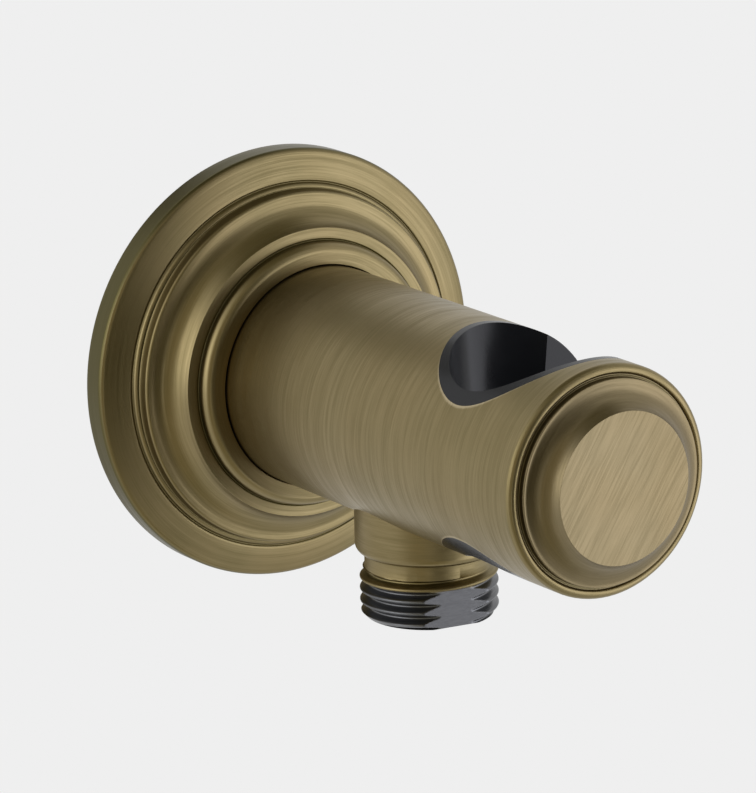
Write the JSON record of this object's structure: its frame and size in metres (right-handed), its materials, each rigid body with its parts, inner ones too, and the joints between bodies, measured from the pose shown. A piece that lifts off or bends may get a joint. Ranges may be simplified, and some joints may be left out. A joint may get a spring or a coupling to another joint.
{
  "type": "wall outlet elbow with hand-shower holder",
  "caption": "Wall-mounted shower hose outlet: a stepped round escutcheon, a horizontal barrel with a slotted handset holder, and a threaded outlet below it.",
  "frame": {"origin": "on the barrel's axis, in the plane of the finished wall", "axes": "+Y into the wall along the connector's thread, the barrel stands out along -Y, the hose outlet points down along -Z, and the holder's slot opens towards +X"},
  "size_m": [0.0678, 0.1049, 0.0678],
  "materials": {
    "antique_brass": "patinated, then brushed round the axis",
    "raw_brass": "as turned",
    "black_plastic": "gloss",
    "white_plastic": "moulded, semi-matte",
    "rubber": "matte",
    "steel": "bright drawn"
  },
  "bodies": {
    "fitting": {"barrel": "antique_brass", "end_cap": "antique_brass", "holder_liner": "black_plastic", "wall_connector": "raw_brass", "connector_seal_rear": "rubber", "connector_seal_front": "rubber", "grub_screw": "steel", "outlet_nipple": "antique_brass", "nipple_seal": "rubber", "valve_housing": "white_plastic", "valve_seal": "rubber", "valve_clip": "steel", "valve_guide": "white_plastic", "valve_spring": "steel"},
    "escutcheon": {"escutcheon": "antique_brass", "escutcheon_grip_ring": "rubber", "wall_seal": "rubber"},
    "poppet": {"valve_poppet": "white_plastic", "poppet_washer": "rubber"}
  },
  "joints": [
    {"name": "escutcheon_slide", "type": "slide", "parent": "fitting", "child": "escutcheon", "axis": [0, -1, 0], "range_m": [0, 0.016]},
    {"name": "valve_open", "type": "slide", "parent": "fitting", "child": "poppet", "axis": [0, 0, -1], "range_m": [0, 0.0022], "stiffness_N_per_m": 120, "springref_m": -0.002, "deforming": ["valve_spring"]}
  ]
}
